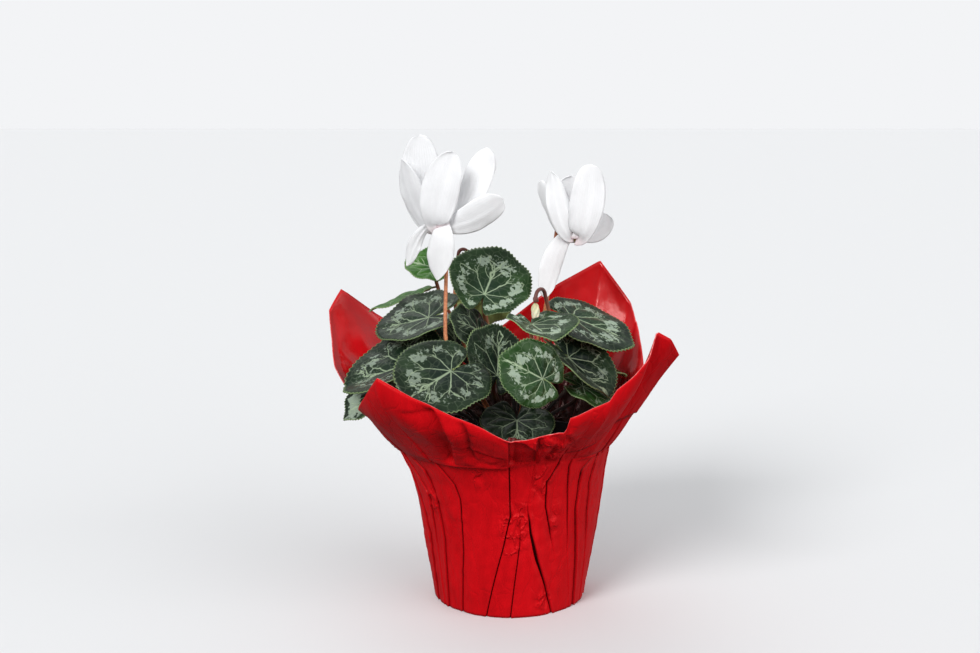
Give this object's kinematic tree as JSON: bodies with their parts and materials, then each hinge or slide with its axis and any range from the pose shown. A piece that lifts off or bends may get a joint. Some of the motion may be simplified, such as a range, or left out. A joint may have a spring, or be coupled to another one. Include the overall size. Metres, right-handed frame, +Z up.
{
  "type": "potted cyclamen",
  "caption": "Cyclamen with silver-marked heart-shaped leaves, white blooms and nodding buds, in a nursery pot dressed in a pleated red film cover with a flared four-cornered collar.",
  "frame": {"origin": "middle of the flat base of the pot cover, on the surface that the pot stands on", "axes": "+Z up along the pot's axis, towards the flowers; -Y is the front, as seen in the picture; +X is to the right seen from the front"},
  "size_m": [0.1722, 0.149, 0.2316],
  "materials": {
    "red_film": "matte coated film outside, glossy inside",
    "nursery_plastic": "moulded, matte",
    "soil": "damp peat mix",
    "tuber": "corky skin",
    "leaf_blade": "satin leaf with silver markings",
    "stalk": "fleshy, satin",
    "petal": "soft, finely crystalline",
    "bud": "soft, satin"
  },
  "bodies": {
    "root": {"pot_cover": "red_film", "nursery_pot": "nursery_plastic", "potting_soil": "soil", "tuber": "tuber", "leaf_01": "leaf_blade", "leaf_stalk_01": "stalk", "leaf_02": "leaf_blade", "leaf_stalk_02": "stalk", "leaf_03": "leaf_blade", "leaf_stalk_03": "stalk", "leaf_04": "leaf_blade", "leaf_stalk_04": "stalk", "leaf_05": "leaf_blade", "leaf_stalk_05": "stalk", "leaf_06": "leaf_blade", "leaf_stalk_06": "stalk", "leaf_07": "leaf_blade", "leaf_stalk_07": "stalk", "leaf_08": "leaf_blade", "leaf_stalk_08": "stalk", "leaf_09": "leaf_blade", "leaf_stalk_09": "stalk", "leaf_10": "leaf_blade", "leaf_stalk_10": "stalk", "leaf_11": "leaf_blade", "leaf_stalk_11": "stalk", "leaf_12": "leaf_blade", "leaf_stalk_12": "stalk", "leaf_13": "leaf_blade", "leaf_stalk_13": "stalk", "leaf_14": "leaf_blade", "leaf_stalk_14": "stalk", "leaf_15": "leaf_blade", "leaf_stalk_15": "stalk", "leaf_16": "leaf_blade", "leaf_stalk_16": "stalk", "leaf_17": "leaf_blade", "leaf_stalk_17": "stalk", "leaf_18": "leaf_blade", "leaf_stalk_18": "stalk", "leaf_19": "leaf_blade", "leaf_stalk_19": "stalk", "leaf_20": "leaf_blade", "leaf_stalk_20": "stalk", "leaf_21": "leaf_blade", "leaf_stalk_21": "stalk", "bloom_left": "petal", "bloom_left_stem": "stalk", "bloom_right": "petal", "bloom_right_stem": "stalk", "bud_left": "bud", "bud_left_stem": "stalk", "bud_right": "bud", "bud_right_stem": "stalk"}
  },
  "joints": []
}
